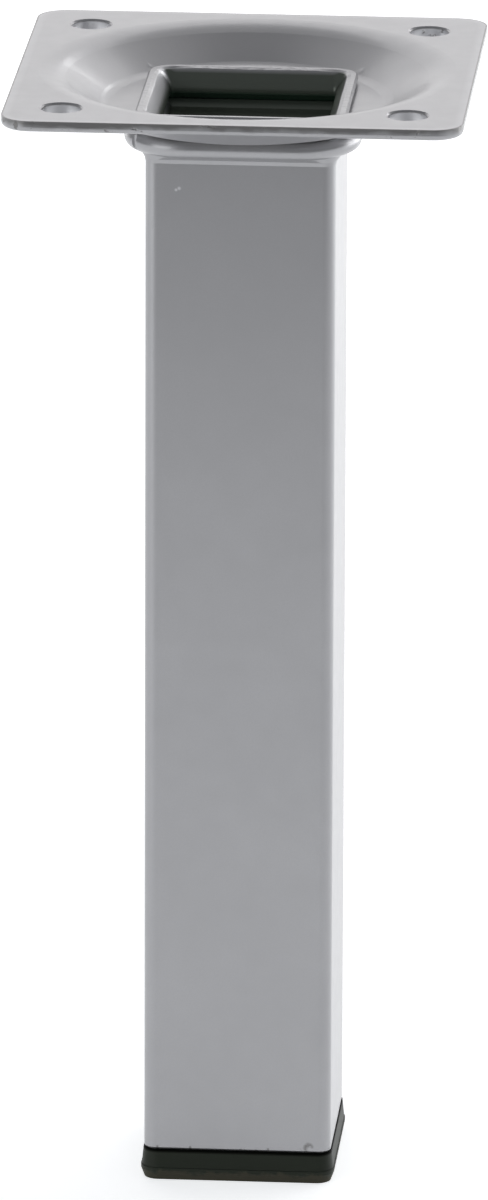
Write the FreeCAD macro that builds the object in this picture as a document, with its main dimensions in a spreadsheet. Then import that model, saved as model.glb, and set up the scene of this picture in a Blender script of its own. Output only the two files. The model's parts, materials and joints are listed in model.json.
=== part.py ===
import FreeCAD, Part
import math
import os
import re

import Sketcher

# A square table leg: a pressed steel mounting plate, a square steel tube clamped into the plate by a
# folded bead below it and a flared end above it, and a moulded cap pushed into the tube's lower end.
# Millimetres. The leg stands on the XY plane with its axis along +Z.

SIZES = {
    # Whole leg, from the underside of the cap to the top face of the plate
    "leg_height": 150.0,
    # Tube
    "tube_side": 25.0,
    "tube_wall": 1.5,
    "tube_corner": 1.6,
    "tube_inner_corner": 0.4,
    "tube_end_chamfer": 0.3,
    # Mounting plate: its reach beyond each side of the tube, and its screw holes in from its edges
    "plate_overhang": 17.5,
    "plate_sheet": 1.5,
    "plate_corner": 4.0,
    "plate_edge_round": 0.7,
    "screw_inset": 7.5,
    "screw_hole": 5.2,
    "screw_hole_chamfer": 0.25,
    # Round dish pressed into the plate: flat border outside its rim, and rim to floor in plan
    "dish_border": 2.5,
    "dish_run": 9.8,
    "dish_depth": 4.25,
    "dish_rim_bend": 7.0,
    "dish_floor_bend": 3.0,
    # Room between the tube and the square hole in the dish's floor
    "tube_hole_clearance": 0.1,
    # Fold of the tube's wall under the dish, half round outside and creased at two of its corners
    "bead_reach": 3.1,
    "bead_corner": 8.6,
    "bead_height": 2.8,
    "bead_crease": 0.9,
    "bead_crease_angle": 41.0,
    "fold_gap": 0.1,
    "fold_lip": 0.9,
    # Root of the fold, where the tube's wall bends out to the bead: gently at its toe, then more
    "root_height": 1.25,
    "root_reach": 0.9,
    "root_corner": 4.5,
    "root_toe_height": 0.55,
    "root_toe_reach": 0.15,
    "root_toe_corner": 2.1,
    # Flared upper end of the tube, with a straight band below its rim
    "flare_reach": 1.4,
    "flare_height": 1.2,
    "flare_band": 0.5,
    "flare_rim": 1.3,
    "flare_depth": 2.2,
    "flare_corner": 3.4,
    "flare_inner_corner": 2.4,
    "flare_edge_chamfer": 0.3,
    "flare_throat_round": 2.0,
    # Head of the cap, below the tube: a foot that widens to a lip, and a skirt that narrows to the tube
    "cap_head_height": 4.2,
    "cap_foot_height": 1.2,
    "cap_foot_inset": 0.45,
    "cap_lip_height": 0.5,
    "cap_lip_reach": 0.45,
    "cap_lip_step": 0.1,
    "cap_top_reach": 0.1,
    "cap_corner": 2.4,
    # Hollow plug of the cap, inside the tube, with the fins that grip the tube's wall
    "plug_height": 12.0,
    "plug_gap": 1.0,
    "plug_wall": 1.6,
    "plug_corner": 1.2,
    "plug_floor": 2.6,
    "fin_clearance": 0.1,
    "fin_thickness": 0.8,
    "fin_first": 2.4,
    "fin_count": 3,
}

# Heights that several pieces share, as formulas on the sizes
PLATE_UNDERSIDE = "leg_height - plate_sheet"
DISH_FLOOR = "leg_height - dish_depth"
BEAD_TOP = DISH_FLOOR + " - plate_sheet"
BEAD_BOTTOM = BEAD_TOP + " - bead_height"
BEAD_MIDDLE = BEAD_TOP + " - bead_height / 2"
FOLD_BOTTOM = BEAD_BOTTOM + " + (bead_height - fold_gap) / 2"
FOLD_TOP = FOLD_BOTTOM + " + fold_gap"
RIM_TOP = DISH_FLOOR + " + flare_height"
THROAT = RIM_TOP + " - flare_depth"
LIP_TOP = "cap_foot_height + cap_lip_height"

# Widths and radii that follow from the tube's size
TUBE_HOLLOW = "tube_side - 2 * tube_wall"
PLATE_SIDE = "tube_side + 2 * plate_overhang"
HALF_PITCH = f"({PLATE_SIDE}) / 2 - screw_inset"
DISH_RIM_RADIUS = f"({PLATE_SIDE}) / 2 - dish_border"
DISH_FLOOR_RADIUS = DISH_RIM_RADIUS + " - dish_run"
BEAD_SIDE = "tube_side + 2 * bead_reach"

# How far from the axis the bead's rounded corners are, in the direction of the creases
BEAD_CORNER_CENTRE = f"(({BEAD_SIDE}) / 2 - bead_corner)"
CREASE_REACH = (f"({BEAD_CORNER_CENTRE} * (cos(bead_crease_angle) + sin(bead_crease_angle))"
                f" + sqrt(bead_corner ^ 2 - {BEAD_CORNER_CENTRE} ^ 2 * (1 - sin(2 * bead_crease_angle))))")

TOLERANCE = 1e-4

# Directions of the corners from the axis, in plan
LEFT_CORNERS = ((-1, -1), (-1, 1))
ALL_CORNERS = LEFT_CORNERS + ((1, -1), (1, 1))

doc = FreeCAD.newDocument("square_table_leg")
sheet = doc.addObject("Spreadsheet::Sheet", "Sizes")
for row, (alias, size) in enumerate(SIZES.items(), start=1):
    sheet.set(f"A{row}", alias)
    sheet.set(f"B{row}", str(size))
    sheet.setAlias(f"B{row}", alias)
doc.recompute()


def value(formula):
    """The number that a formula on the sizes gives now."""
    return float(sheet.evalExpression(formula))


def bind(item, path, formula):
    """Ties a property to a formula, with each size's name pointing at its cell."""
    tied = re.sub(r"[a-z_]+", lambda word: f"Sizes.{word[0]}" if word[0] in SIZES else word[0], formula)
    item.setExpression(path, tied)


def origin_item(body, role):
    return next(item for item in body.Origin.OriginFeatures if item.Role == role)


def new_body(name):
    body = doc.addObject("PartDesign::Body", name)
    body.Label = name
    return body


def new_sketch(body, name, plane, height=None):
    """A sketch on one of the body's origin planes, lifted along the leg's axis by a formula."""
    sketch = body.newObject("Sketcher::SketchObject", name)
    sketch.AttachmentSupport = [(origin_item(body, plane), "")]
    sketch.MapMode = "FlatFace"
    if height:
        bind(sketch, "AttachmentOffset.Base.z", height)
    return sketch


def constrain(sketch, kind, *where):
    return sketch.addConstraint(Sketcher.Constraint(kind, *where))


def dimension(sketch, name, formula, kind, *where):
    """A dimension of the sketch, tied to a formula on the sizes."""
    index = constrain(sketch, kind, *where, value(formula))
    sketch.renameConstraint(index, name)
    bind(sketch, f"Constraints.{name}", formula)


def line(sketch, start, end, construction=False):
    edge = Part.LineSegment(FreeCAD.Vector(*start, 0), FreeCAD.Vector(*end, 0))
    return sketch.addGeometry(edge, construction)


def polyline(sketch, points):
    """Straight lines from each point to the next, joined at their ends."""
    lines = [line(sketch, *ends) for ends in zip(points, points[1:])]
    for one, other in zip(lines, lines[1:]):
        constrain(sketch, "Coincident", one, 2, other, 1)
    return lines


def circle(sketch, centre, radius):
    ring = Part.Circle(FreeCAD.Vector(*centre, 0), FreeCAD.Vector(0, 0, 1), radius)
    return sketch.addGeometry(ring, False)


def arc(sketch, centre, radius, start, end):
    """A counter-clockwise arc between two angles in radians."""
    ring = Part.Circle(FreeCAD.Vector(*centre, 0), FreeCAD.Vector(0, 0, 1), radius)
    return sketch.addGeometry(Part.ArcOfCircle(ring, start, end), False)


def rounded_square(body, name, height, side, corner):
    """A square with rounded corners, centred on the leg's axis, at a height along it."""
    sketch = new_sketch(body, name, "XY_Plane", height)
    half = value(side) / 2
    radius = value(corner)
    straight = half - radius
    sides = []
    corners = []
    for quarter in range(4):
        turn = FreeCAD.Rotation(FreeCAD.Vector(0, 0, 1), 90 * quarter)
        start = turn.multVec(FreeCAD.Vector(half, -straight, 0))
        end = turn.multVec(FreeCAD.Vector(half, straight, 0))
        centre = turn.multVec(FreeCAD.Vector(straight, straight, 0))
        angle = quarter * math.pi / 2
        sides.append(line(sketch, (start.x, start.y), (end.x, end.y)))
        corners.append(arc(sketch, (centre.x, centre.y), radius, angle, angle + math.pi / 2))
    for quarter in range(4):
        constrain(sketch, "Tangent", sides[quarter], 2, corners[quarter], 1)
        constrain(sketch, "Tangent", corners[quarter], 2, sides[(quarter + 1) % 4], 1)
        constrain(sketch, "Horizontal" if quarter % 2 else "Vertical", sides[quarter])
    for other in corners[1:]:
        constrain(sketch, "Equal", corners[0], other)
    constrain(sketch, "Equal", sides[0], sides[1])
    constrain(sketch, "Symmetric", corners[0], 3, corners[2], 3, -1, 1)
    dimension(sketch, "side", side, "DistanceX", sides[2], 1, sides[0], 1)
    dimension(sketch, "corner", corner, "Radius", corners[0])
    return sketch


def centred_circle(body, name, height, radius):
    sketch = new_sketch(body, name, "XY_Plane", height)
    ring = circle(sketch, (0, 0), value(radius))
    constrain(sketch, "Coincident", ring, 3, -1, 1)
    dimension(sketch, "radius", radius, "Radius", ring)
    return sketch


def corner_circles(body, name, height, radius, across, along, corners):
    """Circles on corners of a rectangle about the axis, given half its width and half its depth."""
    sketch = new_sketch(body, name, "XY_Plane", height)
    for number, (x, y) in enumerate(corners):
        ring = circle(sketch, (x * value(across), y * value(along)), value(radius))
        dimension(sketch, f"across_{number}", f"{x} * ({across})", "DistanceX", -1, 1, ring, 3)
        dimension(sketch, f"along_{number}", f"{y} * ({along})", "DistanceY", -1, 1, ring, 3)
        dimension(sketch, f"radius_{number}", radius, "Radius", ring)
    return sketch


def pad(body, name, sketch, length, taper=None):
    """A solid upwards from the sketch, with walls that lean outwards by an angle if one is given."""
    feature = body.newObject("PartDesign::Pad", name)
    feature.Profile = sketch
    bind(feature, "Length", length)
    if taper:
        bind(feature, "TaperAngle", taper)
    doc.recompute()
    return feature


def pocket(body, name, sketch, length=None):
    """A cut upwards from the sketch, over a length or through the rest of the body."""
    feature = body.newObject("PartDesign::Pocket", name)
    feature.Profile = sketch
    feature.Reversed = True
    if length:
        bind(feature, "Length", length)
    else:
        feature.Type = "ThroughAll"
    doc.recompute()
    return feature


def loft(body, kind, name, first, *others):
    """Straight walls from one outline to the next, added to the body or taken from it."""
    feature = body.newObject(f"PartDesign::{kind}Loft", name)
    feature.Profile = first
    feature.Sections = list(others)
    feature.Ruled = True
    doc.recompute()
    return feature


def edges_at(feature, heights, within=math.inf):
    """Names of the feature's level edges at the given heights, no further than a reach from the axis."""
    names = []
    for number, edge in enumerate(feature.Shape.Edges, start=1):
        box = edge.BoundBox
        level = box.ZLength < TOLERANCE
        at_height = any(abs(box.ZMin - value(height)) < TOLERANCE for height in heights)
        middle = edge.valueAt((edge.FirstParameter + edge.LastParameter) / 2)
        reach = max(abs(middle.x), abs(middle.y))
        if level and at_height and reach < within:
            names.append(f"Edge{number}")
    return names


def circular_edges(feature, radius):
    """Names of the feature's circular edges of one radius."""
    return [f"Edge{number}" for number, edge in enumerate(feature.Shape.Edges, start=1)
            if isinstance(edge.Curve, Part.Circle) and abs(edge.Curve.Radius - radius) < TOLERANCE]


def fillet(body, name, feature, edges, radius):
    rounded = body.newObject("PartDesign::Fillet", name)
    rounded.Base = (feature, edges)
    bind(rounded, "Radius", radius)
    doc.recompute()
    return rounded


def chamfer(body, name, feature, edges, size):
    bevelled = body.newObject("PartDesign::Chamfer", name)
    bevelled.Base = (feature, edges)
    bind(bevelled, "Size", size)
    doc.recompute()
    return bevelled


def dish_profile(body):
    """Half section of the pressed dish: floor, floor bend, sloping wall and rim bend, in one sheet."""
    sketch = new_sketch(body, "dish_profile", "XZ_Plane")
    top = value("leg_height")
    floor = value(DISH_FLOOR)
    thickness = value("plate_sheet")
    rim_bend = value("dish_rim_bend")
    floor_bend = value("dish_floor_bend")
    rim = (value(DISH_RIM_RADIUS), top - rim_bend)
    root = (value(DISH_FLOOR_RADIUS), floor + floor_bend)
    # The wall is the straight line that touches both bends, and this is its slope
    run = rim[0] - root[0]
    rise = root[1] - rim[1]
    slope = math.asin((rim_bend + floor_bend) / math.hypot(run, rise)) - math.atan2(rise, run)
    normal = (-math.sin(slope), math.cos(slope))
    up = math.pi / 2

    def wall_ends(below):
        """Lower and upper end of the wall on one face of the sheet, given its depth below the upper face."""
        return (tuple(c - (floor_bend + below) * n for c, n in zip(root, normal)),
                tuple(c + (rim_bend - below) * n for c, n in zip(rim, normal)))

    # Upper face, with round bends
    flat = line(sketch, (0, floor), (root[0], floor))
    low = arc(sketch, root, floor_bend, -up, slope - up)
    wall = line(sketch, *wall_ends(0))
    high = arc(sketch, rim, rim_bend, up, up + slope)
    constrain(sketch, "Horizontal", flat)
    constrain(sketch, "Tangent", flat, 2, low, 1)
    constrain(sketch, "Tangent", low, 2, wall, 1)
    constrain(sketch, "Tangent", wall, 2, high, 2)
    # Rim, underside with a narrow bevel at each bend, and axis
    around = polyline(sketch, [
        (rim[0], top), (rim[0], top - thickness), *reversed(wall_ends(thickness)),
        (root[0], floor - thickness), (0, floor - thickness), (0, floor)])
    edge, high_bevel, wall_under, low_bevel, flat_under, axis = around
    constrain(sketch, "Coincident", high, 1, edge, 1)
    constrain(sketch, "Coincident", axis, 2, flat, 1)
    constrain(sketch, "Vertical", edge)
    constrain(sketch, "Horizontal", flat_under)
    constrain(sketch, "Vertical", flat, 2, flat_under, 1)
    constrain(sketch, "PointOnObject", high, 3, edge)
    constrain(sketch, "PointOnObject", axis, 1, -2)
    constrain(sketch, "PointOnObject", axis, 2, -2)
    # The wall is as thick as the sheet, measured square to it at both its ends
    for name, end, end_under in (("wall_low", 1, 2), ("wall_high", 2, 1)):
        across = line(sketch, wall_ends(0)[end - 1], wall_ends(thickness)[end - 1], construction=True)
        constrain(sketch, "Coincident", across, 1, wall, end)
        constrain(sketch, "Coincident", across, 2, wall_under, end_under)
        constrain(sketch, "Perpendicular", across, wall)
        dimension(sketch, name, "plate_sheet", "Distance", across)
    dimension(sketch, "floor_radius", DISH_FLOOR_RADIUS, "DistanceX", -1, 1, low, 1)
    dimension(sketch, "rim_radius", DISH_RIM_RADIUS, "DistanceX", -1, 1, edge, 1)
    dimension(sketch, "floor_height", DISH_FLOOR, "DistanceY", -1, 1, flat, 1)
    dimension(sketch, "rim_height", "leg_height", "DistanceY", -1, 1, edge, 1)
    dimension(sketch, "floor_sheet", "plate_sheet", "DistanceY", axis, 1, axis, 2)
    dimension(sketch, "rim_sheet", "plate_sheet", "DistanceY", edge, 2, edge, 1)
    dimension(sketch, "floor_bend", "dish_floor_bend", "Radius", low)
    dimension(sketch, "rim_bend", "dish_rim_bend", "Radius", high)
    return sketch


def make_mounting_plate():
    body = new_body("mounting_plate")
    outline = rounded_square(body, "plate_outline", PLATE_UNDERSIDE, PLATE_SIDE, "plate_corner")
    blank = pad(body, "plate_blank", outline, "plate_sheet")
    fillet(body, "plate_edges", blank, edges_at(blank, [PLATE_UNDERSIDE]), "plate_edge_round")
    opening = centred_circle(body, "dish_opening", PLATE_UNDERSIDE, DISH_RIM_RADIUS)
    pocket(body, "dish_cut", opening)
    dish = body.newObject("PartDesign::Revolution", "dish")
    dish.Profile = dish_profile(body)
    dish.ReferenceAxis = (origin_item(body, "Z_Axis"), [""])
    dish.Angle = 360
    doc.recompute()
    hole_side = "tube_side + 2 * tube_hole_clearance"
    tube_hole = rounded_square(body, "tube_hole", BEAD_TOP, hole_side, "tube_corner + tube_hole_clearance")
    pocket(body, "tube_hole_cut", tube_hole)
    screws = corner_circles(
        body, "screw_holes", BEAD_TOP, "screw_hole / 2", HALF_PITCH, HALF_PITCH, ALL_CORNERS)
    punched = pocket(body, "screw_hole_cut", screws)
    top_edges = edges_at(punched, ["leg_height"])
    hole_rims = [name for name in circular_edges(punched, value("screw_hole / 2")) if name in top_edges]
    chamfer(body, "screw_hole_edges", punched, hole_rims, "screw_hole_chamfer")
    return body


def bead_section(body):
    """Section of the bead on one side of the tube: half round outside, straight in to the tube's wall."""
    sketch = new_sketch(body, "bead_section", "XZ_Plane")
    radius = value("bead_height / 2")
    middle = value(BEAD_MIDDLE)
    inside = value("(tube_side - tube_wall) / 2")
    outside = value(f"({BEAD_SIDE} - bead_height) / 2")
    top, side, bottom = polyline(sketch, [
        (outside, middle + radius), (inside, middle + radius),
        (inside, middle - radius), (outside, middle - radius)])
    nose = arc(sketch, (outside, middle), radius, -math.pi / 2, math.pi / 2)
    constrain(sketch, "Tangent", bottom, 2, nose, 1)
    constrain(sketch, "Tangent", nose, 2, top, 1)
    constrain(sketch, "Horizontal", top)
    constrain(sketch, "Horizontal", bottom)
    constrain(sketch, "Vertical", side)
    dimension(sketch, "height", "bead_height / 2", "Radius", nose)
    dimension(sketch, "level", BEAD_MIDDLE, "DistanceY", -1, 1, nose, 3)
    dimension(sketch, "reach", f"({BEAD_SIDE} - bead_height) / 2", "DistanceX", -1, 1, nose, 3)
    dimension(sketch, "inside", "(tube_side - tube_wall) / 2", "DistanceX", -1, 1, side, 1)
    return sketch


def make_leg_tube():
    body = new_body("leg_tube")
    bead = body.newObject("PartDesign::AdditivePipe", "bead")
    bead.Profile = bead_section(body)
    bead.Spine = rounded_square(
        body, "bead_path", BEAD_MIDDLE, f"{BEAD_SIDE} - bead_height", "bead_corner - bead_height / 2")
    doc.recompute()
    crease_across = f"{CREASE_REACH} * cos(bead_crease_angle)"
    crease_along = f"{CREASE_REACH} * sin(bead_crease_angle)"
    creases = corner_circles(
        body, "creases", BEAD_BOTTOM, "bead_crease / 2", crease_across, crease_along, LEFT_CORNERS)
    pocket(body, "crease_cut", creases)
    outline = rounded_square(body, "tube_outline", "cap_head_height", "tube_side", "tube_corner")
    blank = pad(body, "tube_blank", outline, DISH_FLOOR + " - cap_head_height")
    chamfer(body, "tube_end", blank, edges_at(blank, ["cap_head_height"]), "tube_end_chamfer")
    root_bottom = BEAD_BOTTOM + " - root_height"
    root_start = rounded_square(body, "root_start", root_bottom, "tube_side", "tube_corner")
    toe_side = "tube_side + 2 * root_toe_reach"
    root_toe = rounded_square(
        body, "root_toe", root_bottom + " + root_toe_height", toe_side, "root_toe_corner")
    root_end = rounded_square(body, "root_end", BEAD_BOTTOM, "tube_side + 2 * root_reach", "root_corner")
    loft(body, "Additive", "bead_root", root_start, root_toe, root_end)
    neck = rounded_square(body, "flare_neck", DISH_FLOOR, "tube_side", "tube_corner")
    rim_side = "tube_side + 2 * flare_reach"
    band = rounded_square(body, "flare_band", RIM_TOP + " - flare_band", rim_side, "flare_corner")
    rim = rounded_square(body, "flare_rim", RIM_TOP, rim_side, "flare_corner")
    loft(body, "Additive", "flare", neck, band, rim)
    hollow = rounded_square(body, "tube_hollow", "cap_head_height", TUBE_HOLLOW, "tube_inner_corner")
    pocket(body, "tube_bore", hollow)
    fold = rounded_square(
        body, "fold_plan", FOLD_BOTTOM, f"{BEAD_SIDE} - 2 * tube_wall", "bead_corner - tube_wall")
    fold_cut = pocket(body, "fold_cut", fold, "fold_gap")
    lip_edges = edges_at(fold_cut, [FOLD_BOTTOM, FOLD_TOP], value("(tube_side - tube_wall) / 2"))
    chamfer(body, "fold_lips", fold_cut, lip_edges, "fold_lip")
    throat = rounded_square(body, "flare_throat", THROAT, TUBE_HOLLOW, "tube_inner_corner")
    mouth_side = f"{rim_side} - 2 * flare_rim"
    mouth = rounded_square(body, "flare_mouth", RIM_TOP, mouth_side, "flare_inner_corner")
    funnel = loft(body, "Subtractive", "flare_funnel", throat, mouth)
    bevelled_rim = chamfer(
        body, "flare_edges", funnel, edges_at(funnel, [RIM_TOP]), "flare_edge_chamfer")
    throat_edges = edges_at(bevelled_rim, [THROAT])
    fillet(body, "flare_throat_edges", bevelled_rim, throat_edges, "flare_throat_round")
    return body


def make_foot_cap():
    body = new_body("foot_cap")
    lip_side = "tube_side + 2 * cap_lip_reach"
    foot_side = f"{lip_side} - 2 * cap_foot_inset"
    foot_outline = rounded_square(body, "foot_outline", None, foot_side, "cap_corner - cap_foot_inset")
    pad(body, "foot", foot_outline, "cap_foot_height", "atan(cap_foot_inset / cap_foot_height)")
    lip_outline = rounded_square(body, "lip_outline", "cap_foot_height", lip_side, "cap_corner")
    pad(body, "lip", lip_outline, "cap_lip_height")
    skirt_side = f"{lip_side} - 2 * cap_lip_step"
    skirt_height = f"cap_head_height - ({LIP_TOP})"
    skirt_taper = f"-atan((cap_lip_reach - cap_lip_step - cap_top_reach) / ({skirt_height}))"
    skirt_outline = rounded_square(body, "skirt_outline", LIP_TOP, skirt_side, "cap_corner - cap_lip_step")
    pad(body, "skirt", skirt_outline, skirt_height, skirt_taper)
    plug_side = f"{TUBE_HOLLOW} - 2 * plug_gap"
    plug_outline = rounded_square(body, "plug_outline", "cap_head_height", plug_side, "plug_corner")
    pad(body, "plug", plug_outline, "plug_height")
    fin_side = f"{TUBE_HOLLOW} - 2 * fin_clearance"
    fin_outline = rounded_square(
        body, "fin_outline", "cap_head_height + fin_first", fin_side, "tube_inner_corner + fin_clearance")
    fin = pad(body, "fin", fin_outline, "fin_thickness")
    fins = body.newObject("PartDesign::LinearPattern", "fins")
    fins.Originals = [fin]
    fins.Direction = (origin_item(body, "Z_Axis"), [""])
    bind(fins, "Length", "(plug_height - fin_first) * (fin_count - 1) / fin_count")
    bind(fins, "Occurrences", "fin_count")
    body.Tip = fins
    doc.recompute()
    hollow_side = f"{plug_side} - 2 * plug_wall"
    hollow = rounded_square(body, "plug_hollow", "plug_floor", hollow_side, "plug_corner")
    pocket(body, "plug_bore", hollow)
    return body


def check_document():
    """Stops if any object failed, or if a cut took nothing away."""
    for item in doc.Objects:
        if "Invalid" in item.State or "Error" in item.State:
            raise RuntimeError(f"{item.Label} failed: {item.State}")
        if item.TypeId in ("PartDesign::Pocket", "PartDesign::SubtractiveLoft"):
            if item.Shape.Volume >= item.BaseFeature.Shape.Volume - TOLERANCE:
                raise RuntimeError(f"{item.Label} cuts nothing")


bodies = [make_mounting_plate(), make_leg_tube(), make_foot_cap()]
doc.recompute()
check_document()
for body in bodies:
    if body.Shape.isNull() or not body.Shape.isValid() or len(body.Shape.Solids) != 1:
        raise RuntimeError(f"{body.Label} is not one valid solid")

os.makedirs("parts", exist_ok=True)
for body in bodies:
    body.Shape.exportStep(f"parts/{body.Label}.step")
    print(f"{body.Label}: {body.Shape.Volume:.1f} mm3, {len(body.Shape.Faces)} faces")
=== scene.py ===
"""Looks of the square table leg: silver paint on the plate and the tube, black plastic on the cap."""
import json
import math

import bpy
from mathutils import Matrix, Vector


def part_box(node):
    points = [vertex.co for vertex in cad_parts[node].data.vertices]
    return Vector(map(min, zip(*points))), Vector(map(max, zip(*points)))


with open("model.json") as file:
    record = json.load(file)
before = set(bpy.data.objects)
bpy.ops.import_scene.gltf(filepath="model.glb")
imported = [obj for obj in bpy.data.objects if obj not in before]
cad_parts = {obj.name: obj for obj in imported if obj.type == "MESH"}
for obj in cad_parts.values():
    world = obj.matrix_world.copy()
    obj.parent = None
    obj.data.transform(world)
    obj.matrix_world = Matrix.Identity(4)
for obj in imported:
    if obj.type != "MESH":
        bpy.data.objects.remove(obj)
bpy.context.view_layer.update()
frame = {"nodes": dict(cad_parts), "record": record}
scene = bpy.context.scene
MM = 0.001

# Camera: angles in degrees, lengths in metres
CAMERA_AZIMUTH = 4.29
CAMERA_ELEVATION = 16.56
CAMERA_ROLL = 0.2
CAMERA_DISTANCE = 1.7156
CAMERA_AIM = Vector((-0.0002, 0, 0.0773))
FRAME_HEIGHT = 0.1594
SENSOR_MM = 36
CLIP_START = 0.01
CLIP_END = 50

# Finishes and lights, as linear colours
PAINT_COLOUR = (0.475, 0.477, 0.493)
# Dark unpainted steel inside the tube; its darkness is partly painted shade in the bore and on the mouth's
# bevels
BARE_STEEL_AND_SHADE_COLOUR = (0.15, 0.172, 0.146)
# Painted light: a paler steel colour deep in the tube, below the fold
DEEP_PAINTED_LIGHT_COLOUR = (0.46, 0.49, 0.45)
# Painted shade: a dark green band in the groove just above the fold
GROOVE_SHADE_COLOUR = (0.012, 0.1, 0.05)
# Colour of chips, used also for the painted shade under the dish and on the cut walls
CHIP_AND_SHADE_COLOUR = (0.16, 0.155, 0.15)
PLASTIC_COLOUR = (0.012, 0.018, 0.009)
# Dust on the cap's lower edge, partly a painted sheen of the floor on its lower rounding
DUST_AND_SHEEN_COLOUR = (0.085, 0.081, 0.058)
FLOOR_COLOUR = (0.86, 0.86, 0.86)
GLOW_COLOUR = (0.97, 0.985, 1.0)
WORLD_COLOUR = (0.187, 0.19, 0.197)
WHITE = (1, 1, 1)
BACK_TINT = (1.0, 0.983, 0.98)

# Silver paint: brightness of its variants, strength of some layers, gloss, and heights of bumps in metres
MOTTLE = (0.97, 1.03)
FLAKE_SHADE = 0.95
# Painted highlight on the left bevel of the mouth, which faces the right light
LEFT_BEVEL_HIGHLIGHT_SHADE = 1.6
# Painted highlight along the outer edge of the plate's top
ARRIS_HIGHLIGHT_SHADE = 1.13
# Painted light: the hole walls are lighter than the rest of the paint
HOLE_WALL_LIGHT_SHADE = 1.4
# Painted highlight of a small paint nib
NIB_HIGHLIGHT_SHADE = 1.65
FLAKE_SHARE = 0.5
# Strength of the painted shade in the groove above the fold
GROOVE_SHADE_SHARE = 0.8
# Strength of the painted shade under the dish and on the cut walls
DARK_SHARE = 0.75
CHIP_SHARE = 0.8
PAINT_METALLIC = 0.55
PAINT_ROUGHNESS = (0.29, 0.34)
COAT_WEIGHT = 0.27
COAT_ROUGHNESS = 0.13
PEEL_HEIGHT = 0.003 * MM
COARSE_HEIGHT = 0.06 * MM
CHIP_DEPTH = 0.05 * MM

# Black plastic, with its dust and painted sheen along the lower edge, and a painted shadow line under the
# tube
# Share of the dust and painted sheen on the cap's lower edge
DUST_AND_SHEEN_SHARE = 0.9
# Painted shadow under the tube: its brightness and specular level
UNDER_TUBE_SHADOW_SHADE = 0.1
PLASTIC_ROUGHNESS = 0.48
DUST_ROUGHNESS = 0.75
PLASTIC_SPECULAR = 0.28
UNDER_TUBE_SHADOW_SPECULAR = 0.03
GRAIN_HEIGHT = 0.008 * MM

# Places on the leg, in metres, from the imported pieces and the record
plate_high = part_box("mounting_plate")[1]
tube_low, tube_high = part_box("leg_tube")
plate_half = plate_high.x
plate_top = plate_high.z
tube_end = tube_low.z
rim_top = tube_high.z
screw_mount = next(mount for mount in frame["record"]["mounts"] if mount["name"] == "screw_holes")
half_pitch = screw_mount["dims"]["spacing_x_mm"] / 2 * MM
hole_radius = screw_mount["dims"]["hole_r_mm"] * MM

# More lengths of the leg, in metres, as in the CAD
TUBE_HALF = 12.5 * MM
TUBE_CORNER = 1.6 * MM
FOLD_HEIGHT = 142.85 * MM
DISH_UNDERSIDE = 144.25 * MM
PLATE_SHEET = 1.5 * MM
PLATE_CORNER = 4 * MM

# Marks on the tube's front, as places on that face
SCUFF = (9.6 * MM, -TUBE_HALF, tube_end + 0.8 * MM)
SCUFF_MIDDLE = (9.7 * MM, -TUBE_HALF, tube_end + 0.6 * MM)
SPECKS = [(across * MM, -TUBE_HALF, tube_end + 0.4 * MM) for across in (-10.6, -6.2, 4.2)]
# A small paint nib on the front, drawn only as two painted highlights
NIB_HIGHLIGHT_LEFT = (-8.35 * MM, -TUBE_HALF, 136.7 * MM)
NIB_HIGHLIGHT_RIGHT = (-7.95 * MM, -TUBE_HALF, 136.9 * MM)

# Most of the noise lies between these values
NOISE_LOW = 0.3
NOISE_HIGH = 0.7

# Floor and lights, in metres
FLOOR_REACH = 6.0
FLOOR_FRONT = -0.46
FLOOR_GLOW = 0.7
LEG_MIDDLE = (0, 0, 0.09)


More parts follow.
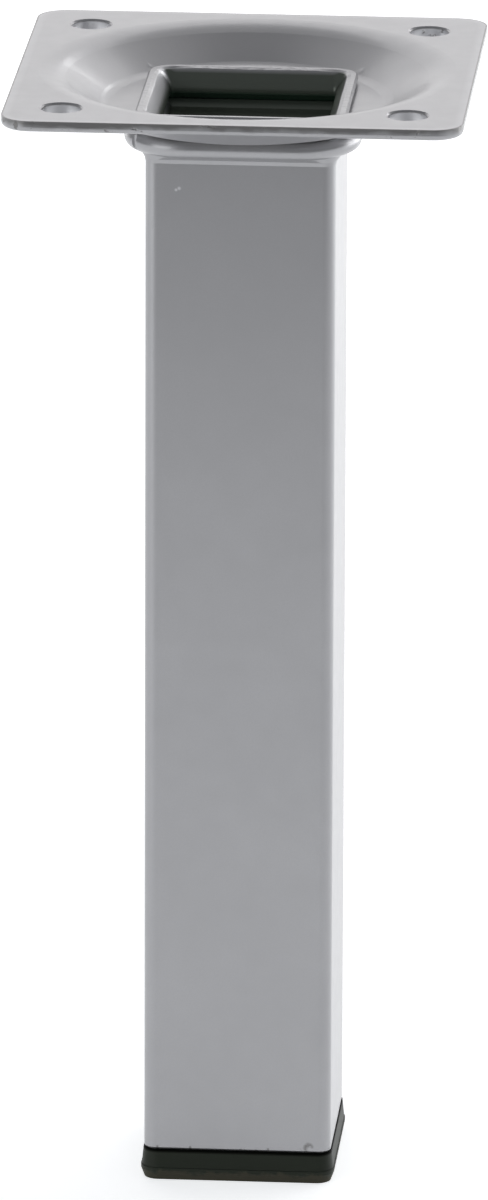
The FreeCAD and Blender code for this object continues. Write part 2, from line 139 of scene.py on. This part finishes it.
class Finish:
    """A procedural material with short calls for the nodes that the finishes share.

    A mask is a number from 0 to 1 over the surface.
    """

    def __init__(self, name):
        self.material = bpy.data.materials.new(name)
        self.material.use_nodes = True
        self.tree = self.material.node_tree
        self.shader = self.tree.nodes["Principled BSDF"]
        self.place = self.add("ShaderNodeTexCoord").outputs["Object"]
        self.height = self.axis("Z")

    def add(self, kind, **settings):
        node = self.tree.nodes.new(kind)
        for key, value in settings.items():
            setattr(node, key, value)
        return node

    def join(self, source, target):
        """Links an output to a socket, or sets the socket to a plain value."""
        if isinstance(source, bpy.types.NodeSocket):
            self.tree.links.new(source, target)
        else:
            target.default_value = source

    def dress(self, name, source):
        """Joins a source to one of the shader's inputs."""
        self.join(source, self.shader.inputs[name])

    def noise(self, size, detail):
        """Smooth noise about 0.5 whose blotches are about size metres wide."""
        node = self.add("ShaderNodeTexNoise")
        node.inputs["Scale"].default_value = 1 / size
        node.inputs["Detail"].default_value = detail
        self.join(self.place, node.inputs["Vector"])
        return node.outputs["Fac"]

    def blotches(self, size, detail, start=0.0, end=1.0):
        """Noise stretched to run from start to end."""
        return self.span(self.noise(size, detail), NOISE_LOW, NOISE_HIGH, start, end)

    def span(self, value, low, high, start=0.0, end=1.0):
        """Value mapped so that low gives start and high gives end, held between them."""
        node = self.add("ShaderNodeMapRange")
        for socket, number in zip(node.inputs[1:5], (low, high, start, end)):
            socket.default_value = number
        self.join(value, node.inputs["Value"])
        return node.outputs["Result"]

    def falling(self, value, low, high):
        """Mask that is 1 up to low and falls to 0 at high."""
        return self.span(value, low, high, 1.0, 0.0)

    def math(self, operation, first, second=0.0):
        node = self.add("ShaderNodeMath", operation=operation)
        self.join(first, node.inputs[0])
        self.join(second, node.inputs[1])
        return node.outputs["Value"]

    def all_of(self, first, *others):
        """Mask of what lies in every mask."""
        for other in others:
            first = self.math("MULTIPLY", first, other)
        return first

    def any_of(self, first, *others):
        """Mask of what lies in at least one mask."""
        for other in others:
            first = self.math("MAXIMUM", first, other)
        return first

    def outside(self, mask):
        """Mask of what another mask leaves out."""
        return self.math("SUBTRACT", 1.0, mask)

    def mix(self, share, first, second):
        """Blend of two colours by share."""
        node = self.add("ShaderNodeMix", data_type="RGBA")
        self.join(share, node.inputs["Factor"])
        self.join(first, node.inputs["A"])
        self.join(second, node.inputs["B"])
        return node.outputs["Result"]

    def bump(self, height, distance, below=None):
        """Surface normal raised by height times distance metres, over an earlier bump."""
        node = self.add("ShaderNodeBump")
        node.inputs["Distance"].default_value = distance
        self.join(height, node.inputs["Height"])
        if below:
            self.join(below, node.inputs["Normal"])
        return node.outputs["Normal"]

    def axis(self, name):
        """One coordinate of the place on the object."""
        node = self.add("ShaderNodeSeparateXYZ")
        self.join(self.place, node.inputs["Vector"])
        return node.outputs[name]

    def reach(self):
        """How far the place is from the leg's axis, along X or Y, whichever is more."""
        across = self.math("ABSOLUTE", self.axis("X"))
        along = self.math("ABSOLUTE", self.axis("Y"))
        return self.math("MAXIMUM", across, along)

    def vector(self, operation, first, second=(0, 0, 0), result="Vector"):
        node = self.add("ShaderNodeVectorMath", operation=operation)
        self.join(first, node.inputs[0])
        self.join(second, node.inputs[1])
        return node.outputs[result]

    def spot(self, centre, inner, outer):
        """Mask that is 1 within inner metres of a point and falls to 0 at outer metres."""
        return self.falling(self.vector("DISTANCE", self.place, centre, "Value"), inner, outer)

    def beyond_square(self, half):
        """Distance in plan from the square about the axis that extends half metres to each side."""
        folded = self.vector("ABSOLUTE", self.place)
        outside = self.vector("MAXIMUM", self.vector("SUBTRACT", folded, (half, half, 1)))
        return self.vector("LENGTH", outside, result="Value")

    def from_corners(self, half):
        """Distance in plan from the nearest corner of that square."""
        folded = self.vector("MULTIPLY", self.vector("ABSOLUTE", self.place), (1, 1, 0))
        return self.vector("DISTANCE", folded, (half, half, 0), "Value")


def shade(colour, factor=1):
    """A colour with its brightness scaled, as a socket value."""
    return (*(part * factor for part in colour), 1)


def mouth_masks(paint):
    """Masks of the dark steel colour inside the tube, and of a painted highlight on the left bevel of its
    mouth.

    The bore is unpainted steel, and its dark colour is partly painted shade. On every wall but the left,
    the dark colour also reaches up to the rim as painted shade on the bevel. The left bevel faces the right
    light and gets the painted highlight instead.
    """
    across_wall = paint.beyond_square(TUBE_HALF - TUBE_CORNER)
    off_left_wall = paint.math("ADD", paint.axis("X"), paint.math("ABSOLUTE", paint.axis("Y")))
    other_walls = paint.span(off_left_wall, -0.3 * MM, 0.3 * MM)
    up_to_rim = paint.falling(across_wall, 1.2 * MM, 1.5 * MM)
    # Unpainted steel in the bore, darkened as painted shade
    bore_steel_and_shade = paint.falling(across_wall, 0.15 * MM, 0.6 * MM)
    # Painted shade: the dark steel colour reaches up to the rim on every wall but the left
    bare_steel_and_shade = paint.any_of(bore_steel_and_shade, paint.all_of(up_to_rim, other_walls))
    # Painted highlight on the left bevel, near the top of the mouth
    past_wall = paint.span(across_wall, 0.5 * MM, 1.2 * MM)
    within_rim = paint.falling(across_wall, 1.55 * MM, 1.75 * MM)
    near_top = paint.span(paint.height, rim_top - 1.8 * MM, rim_top - 1.4 * MM)
    left_bevel_highlight = paint.all_of(past_wall, within_rim, near_top, paint.outside(other_walls))
    return bare_steel_and_shade, left_bevel_highlight


def inside_steel_light_and_shade(paint):
    """Colour of the tube's inner wall: a band of painted shade in the groove just above the fold, and a
    paler colour below the fold as painted light deep in the tube.
    """
    # Painted shade: a dark band in the groove just above the fold
    above_fold = paint.span(paint.height, FOLD_HEIGHT - 0.1 * MM, FOLD_HEIGHT + 0.1 * MM)
    groove_shade = paint.span(paint.height, FOLD_HEIGHT + 0.8 * MM, FOLD_HEIGHT + 1.3 * MM, GROOVE_SHADE_SHARE, 0.0)
    # Painted light: a paler colour on the wall below the fold
    below_fold = paint.falling(paint.height, FOLD_HEIGHT - 3 * MM, FOLD_HEIGHT - 1.5 * MM)
    wall = paint.mix(below_fold, shade(BARE_STEEL_AND_SHADE_COLOUR), shade(DEEP_PAINTED_LIGHT_COLOUR))
    return paint.mix(paint.all_of(above_fold, groove_shade), wall, shade(GROOVE_SHADE_COLOUR))


def edge_masks(paint):
    """Masks of the plate's sheared edge and hole walls, of painted shade along their upper part, and of a
    painted highlight along the outer edge of the plate's top.
    """
    past_corner = paint.beyond_square(plate_half - PLATE_CORNER)
    sheared = paint.span(past_corner, PLATE_CORNER - 0.25 * MM, PLATE_CORNER - 0.1 * MM)
    from_hole = paint.from_corners(half_pitch)
    hole_wall = paint.falling(from_hole, hole_radius + 0.02 * MM, hole_radius + 0.06 * MM)

    # Painted shade: a wavy band on the sheared edge, and a line along the top of the hole walls
    wavy = paint.math("ADD", paint.height, paint.blotches(3.5 * MM, 2, -0.3 * MM, 0.3 * MM))
    upper = paint.span(wavy, plate_top - 0.6 * PLATE_SHEET, plate_top - 0.25 * PLATE_SHEET)
    hole_top = paint.span(paint.height, plate_top - 0.4 * MM, plate_top - 0.2 * MM)
    painted_shade_band = paint.any_of(paint.all_of(sheared, upper), paint.all_of(hole_wall, hole_top))

    # Painted highlight along the outer edge of the plate's top
    near_edge = paint.span(past_corner, PLATE_CORNER - 1.3 * MM, PLATE_CORNER - 0.4 * MM)
    on_top = paint.span(paint.height, plate_top - 0.15 * MM, plate_top - 0.05 * MM)
    return sheared, hole_wall, painted_shade_band, paint.all_of(near_edge, on_top)


def gap_shadow_mask(paint, reach):
    """Mask of a painted shadow in the gap where the dish's underside meets the bead."""
    above_bead = paint.span(paint.height, DISH_UNDERSIDE - 0.2 * MM, DISH_UNDERSIDE)
    below_dish = paint.falling(paint.height, DISH_UNDERSIDE + 0.15 * MM, DISH_UNDERSIDE + 0.4 * MM)
    round_tube = paint.span(reach, TUBE_HALF + 0.5 * MM, TUBE_HALF + 1 * MM)
    return paint.all_of(above_bead, below_dish, round_tube)


def chip_mask(paint, cut):
    """Mask of chips on the plate's cut walls and along the tube's lower end."""
    blots = paint.noise(1.3 * MM, 3)
    chipped_walls = paint.all_of(cut, paint.span(blots, 0.62, 0.68))
    foot = paint.falling(paint.height, tube_end + 0.3 * MM, tube_end + 0.8 * MM)
    chipped_foot = paint.all_of(foot, paint.span(blots, 0.65, 0.71))
    worn = paint.spot(SCUFF, 0.45 * MM, 0.8 * MM)
    unworn = paint.spot(SCUFF_MIDDLE, 0.15 * MM, 0.5 * MM)
    scuff = paint.all_of(worn, paint.outside(unworn), paint.span(blots, 0.36, 0.5))
    specks = [paint.spot(speck, 0.05 * MM, 0.25 * MM) for speck in SPECKS]
    return paint.any_of(chipped_walls, chipped_foot, scuff, *specks)


def silver_paint():
    """Satin silver paint with fine flakes and a faint orange peel, worn here and there, with painted shade,
    painted light and painted highlights in places.
    """
    paint = Finish("satin_silver_paint")
    reach = paint.reach()
    bare_steel_and_shade, left_bevel_highlight = mouth_masks(paint)
    sheared, hole_wall, painted_shade_band, arris_highlight = edge_masks(paint)
    # Painted shade: the gap under the dish and the upper band of the cut walls
    dark = paint.any_of(gap_shadow_mask(paint, reach), painted_shade_band)
    chips = chip_mask(paint, paint.any_of(sheared, hole_wall))
    # Painted highlights of the paint nib
    nib_highlight_left = paint.spot(NIB_HIGHLIGHT_LEFT, 0.08 * MM, 0.28 * MM)
    nib_highlight_right = paint.spot(NIB_HIGHLIGHT_RIGHT, 0.1 * MM, 0.32 * MM)

    # Each layer of colour lies over the one before
    low, high = (shade(PAINT_COLOUR, factor) for factor in MOTTLE)
    flakes = paint.blotches(0.22 * MM, 1, 0.0, FLAKE_SHARE)
    colour = paint.mix(paint.blotches(14 * MM, 3), low, high)
    colour = paint.mix(flakes, colour, shade(PAINT_COLOUR, FLAKE_SHADE))
    # Painted highlight on the left bevel of the mouth
    colour = paint.mix(left_bevel_highlight, colour, shade(PAINT_COLOUR, LEFT_BEVEL_HIGHLIGHT_SHADE))
    # Painted highlight along the outer edge of the plate's top
    colour = paint.mix(arris_highlight, colour, shade(PAINT_COLOUR, ARRIS_HIGHLIGHT_SHADE))
    # Painted light on the hole walls
    colour = paint.mix(hole_wall, colour, shade(PAINT_COLOUR, HOLE_WALL_LIGHT_SHADE))
    # Painted shade, in the chips' dark colour
    colour = paint.mix(paint.math("MULTIPLY", dark, DARK_SHARE), colour, shade(CHIP_AND_SHADE_COLOUR))
    colour = paint.mix(paint.math("MULTIPLY", chips, CHIP_SHARE), colour, shade(CHIP_AND_SHADE_COLOUR))
    # Painted highlights of the paint nib
    colour = paint.mix(paint.any_of(nib_highlight_left, nib_highlight_right), colour, shade(PAINT_COLOUR, NIB_HIGHLIGHT_SHADE))
    # Inside the tube the colour turns to unpainted steel with painted shade, and painted light deep down
    paint.dress("Base Color", paint.mix(bare_steel_and_shade, colour, inside_steel_light_and_shade(paint)))
    paint.dress("Metallic", PAINT_METALLIC)
    paint.dress("Roughness", paint.blotches(2.5 * MM, 2, *PAINT_ROUGHNESS))
    paint.dress("Coat Weight", COAT_WEIGHT)
    paint.dress("Coat Roughness", COAT_ROUGHNESS)

    # The paint is coarser on the end face of the flare than elsewhere
    on_flare = paint.span(paint.height, rim_top - 0.9 * MM, rim_top - 0.4 * MM)
    near_tube = paint.falling(reach, TUBE_HALF + 1.6 * MM, TUBE_HALF + 2 * MM)
    coarse = paint.all_of(on_flare, near_tube, paint.blotches(1.1 * MM, 1))
    normal = paint.bump(paint.noise(0.9 * MM, 1), PEEL_HEIGHT)
    normal = paint.bump(coarse, COARSE_HEIGHT, normal)
    paint.dress("Normal", paint.bump(paint.outside(chips), CHIP_DEPTH, normal))
    return paint.material


def black_plastic():
    """Black moulded plastic: fine grain, dust and a painted sheen along the lower edge, and a dull painted
    shadow line under the tube.
    """
    plastic = Finish("black_moulded_plastic")
    # Lighter band along the lower edge: dust, and partly a painted sheen of the floor on the lower rounding
    ragged = plastic.math("ADD", plastic.height, plastic.blotches(1.6 * MM, 4, -0.5 * MM, 0.5 * MM))
    dust_and_sheen = plastic.span(ragged, 0.9 * MM, 1.5 * MM, DUST_AND_SHEEN_SHARE, 0.0)
    # Painted shadow in a line under the tube's end
    under_tube_shadow = plastic.span(plastic.height, tube_end - 0.5 * MM, tube_end - 0.2 * MM)
    body = plastic.mix(under_tube_shadow, shade(PLASTIC_COLOUR), shade(PLASTIC_COLOUR, UNDER_TUBE_SHADOW_SHADE))
    plastic.dress("Base Color", plastic.mix(dust_and_sheen, body, shade(DUST_AND_SHEEN_COLOUR)))
    plastic.dress("Roughness", plastic.span(dust_and_sheen, 0, 1, PLASTIC_ROUGHNESS, DUST_ROUGHNESS))
    shine = plastic.span(under_tube_shadow, 0, 1, PLASTIC_SPECULAR, UNDER_TUBE_SHADOW_SPECULAR)
    plastic.dress("Specular IOR Level", shine)
    plastic.dress("Normal", plastic.bump(plastic.noise(0.25 * MM, 2), GRAIN_HEIGHT))
    return plastic.material


def dress_nodes():
    """The finish of every piece, by the material slot that the record gives it."""
    finishes = {"silver_paint": silver_paint(), "black_plastic": black_plastic()}
    for part in frame["record"]["subparts"]:
        piece = frame["nodes"][part["node"]]
        piece.data.materials.clear()
        piece.data.materials.append(finishes[part["material_slot"]])


def add_camera():
    camera = bpy.data.objects.new("camera", bpy.data.cameras.new("camera"))
    scene.collection.objects.link(camera)
    turn = math.radians(CAMERA_AZIMUTH)
    rise = math.radians(CAMERA_ELEVATION)
    back = Vector((math.sin(turn) * math.cos(rise), -math.cos(turn) * math.cos(rise), math.sin(rise)))
    aimed = (-back).to_track_quat("-Z", "Y").to_matrix().to_4x4()
    stand = Matrix.Translation(CAMERA_AIM + back * CAMERA_DISTANCE)
    camera.matrix_world = stand @ aimed @ Matrix.Rotation(math.radians(CAMERA_ROLL), 4, "Z")
    camera.data.sensor_fit = "VERTICAL"
    camera.data.sensor_height = SENSOR_MM
    camera.data.sensor_width = SENSOR_MM
    camera.data.lens = SENSOR_MM * CAMERA_DISTANCE / FRAME_HEIGHT
    camera.data.clip_start = CLIP_START
    camera.data.clip_end = CLIP_END
    scene.camera = camera


def switch_shader(tree, rays, usual, shown):
    """One shader for the usual rays, and another for the named kinds of ray."""
    path = tree.nodes.new("ShaderNodeLightPath")
    share = path.outputs[rays[0]]
    for kind in rays[1:]:
        either = tree.nodes.new("ShaderNodeMath")
        either.operation = "MAXIMUM"
        tree.links.new(share, either.inputs[0])
        tree.links.new(path.outputs[kind], either.inputs[1])
        share = either.outputs["Value"]
    switch = tree.nodes.new("ShaderNodeMixShader")
    tree.links.new(share, switch.inputs["Fac"])
    tree.links.new(usual, switch.inputs[1])
    tree.links.new(shown, switch.inputs[2])
    return switch.outputs["Shader"]


def floor_material():
    """A pale matt surface that also glows, evenly, for the camera and in reflections."""
    material = bpy.data.materials.new("floor")
    material.use_nodes = True
    tree = material.node_tree
    tree.nodes.remove(tree.nodes["Principled BSDF"])
    matt = tree.nodes.new("ShaderNodeBsdfDiffuse")
    matt.inputs["Color"].default_value = shade(FLOOR_COLOUR)
    glow = tree.nodes.new("ShaderNodeEmission")
    glow.inputs["Color"].default_value = shade(GLOW_COLOUR)
    glow.inputs["Strength"].default_value = FLOOR_GLOW
    both = tree.nodes.new("ShaderNodeAddShader")
    tree.links.new(matt.outputs["BSDF"], both.inputs[0])
    tree.links.new(glow.outputs["Emission"], both.inputs[1])
    rays = ("Is Camera Ray", "Is Glossy Ray", "Is Transmission Ray")
    seen = switch_shader(tree, rays, matt.outputs["BSDF"], both.outputs["Shader"])
    tree.links.new(seen, tree.nodes["Material Output"].inputs["Surface"])
    return material


def add_floor():
    """A table top under the leg, which looks white away from the leg's shadow."""
    mesh = bpy.data.meshes.new("floor")
    corners = [
        (-FLOOR_REACH, FLOOR_FRONT, 0),
        (FLOOR_REACH, FLOOR_FRONT, 0),
        (FLOOR_REACH, FLOOR_REACH, 0),
        (-FLOOR_REACH, FLOOR_REACH, 0),
    ]
    mesh.from_pydata(corners, [], [(0, 1, 2, 3)])
    mesh.materials.append(floor_material())
    floor = bpy.data.objects.new("floor", mesh)
    scene.collection.objects.link(floor)


def add_world():
    """Dim grey light all round, with a white backdrop for the camera."""
    world = bpy.data.worlds.new("studio")
    scene.world = world
    world.use_nodes = True
    tree = world.node_tree
    dim = tree.nodes["Background"]
    dim.inputs["Color"].default_value = shade(WORLD_COLOUR)
    bright = tree.nodes.new("ShaderNodeBackground")
    bright.inputs["Color"].default_value = shade(WHITE)
    rays = ("Is Camera Ray", "Is Transmission Ray")
    seen = switch_shader(tree, rays, dim.outputs["Background"], bright.outputs["Background"])
    tree.links.new(seen, tree.nodes["World Output"].inputs["Surface"])


def add_lamp(name, place, aim, power, size, tint=WHITE):
    """A rectangular lamp of size metres, wide and high, which the camera doesn't see."""
    lamp = bpy.data.lights.new(name, "AREA")
    lamp.shape = "RECTANGLE"
    lamp.size, lamp.size_y = size
    lamp.energy = power
    lamp.color = tint
    item = bpy.data.objects.new(name, lamp)
    scene.collection.objects.link(item)
    item.visible_camera = False
    item.location = place
    item.rotation_euler = (Vector(aim) - Vector(place)).to_track_quat("-Z", "Y").to_euler()


def add_lights():
    """A wide soft light behind, with a weaker one above it and a small one for glints in the dish.

    Two more stand at the back right and at the front left.
    """
    add_lamp("right_light", (0.70, 0.50, 0.22), LEG_MIDDLE, power=3.2, size=(0.7, 0.6))
    add_lamp("back_light", (0, 1.10, 0.63), (0, 0, 0.63), power=9.3, size=(2.4, 1.26), tint=BACK_TINT)
    add_lamp("glint_light", (0.20, 0.95, 0.52), LEG_MIDDLE, power=0.10, size=(0.12, 0.12))
    add_lamp("high_light", (0, 0.85, 1.45), (0, 0, 0.15), power=2.2, size=(2.0, 0.9), tint=BACK_TINT)
    add_lamp("left_light", (-0.65, -0.65, 0.25), LEG_MIDDLE, power=1.6, size=(0.6, 0.6))


scene.view_settings.view_transform = "Standard"
dress_nodes()
add_camera()
add_floor()
add_world()
add_lights()

bpy.context.view_layer.update()
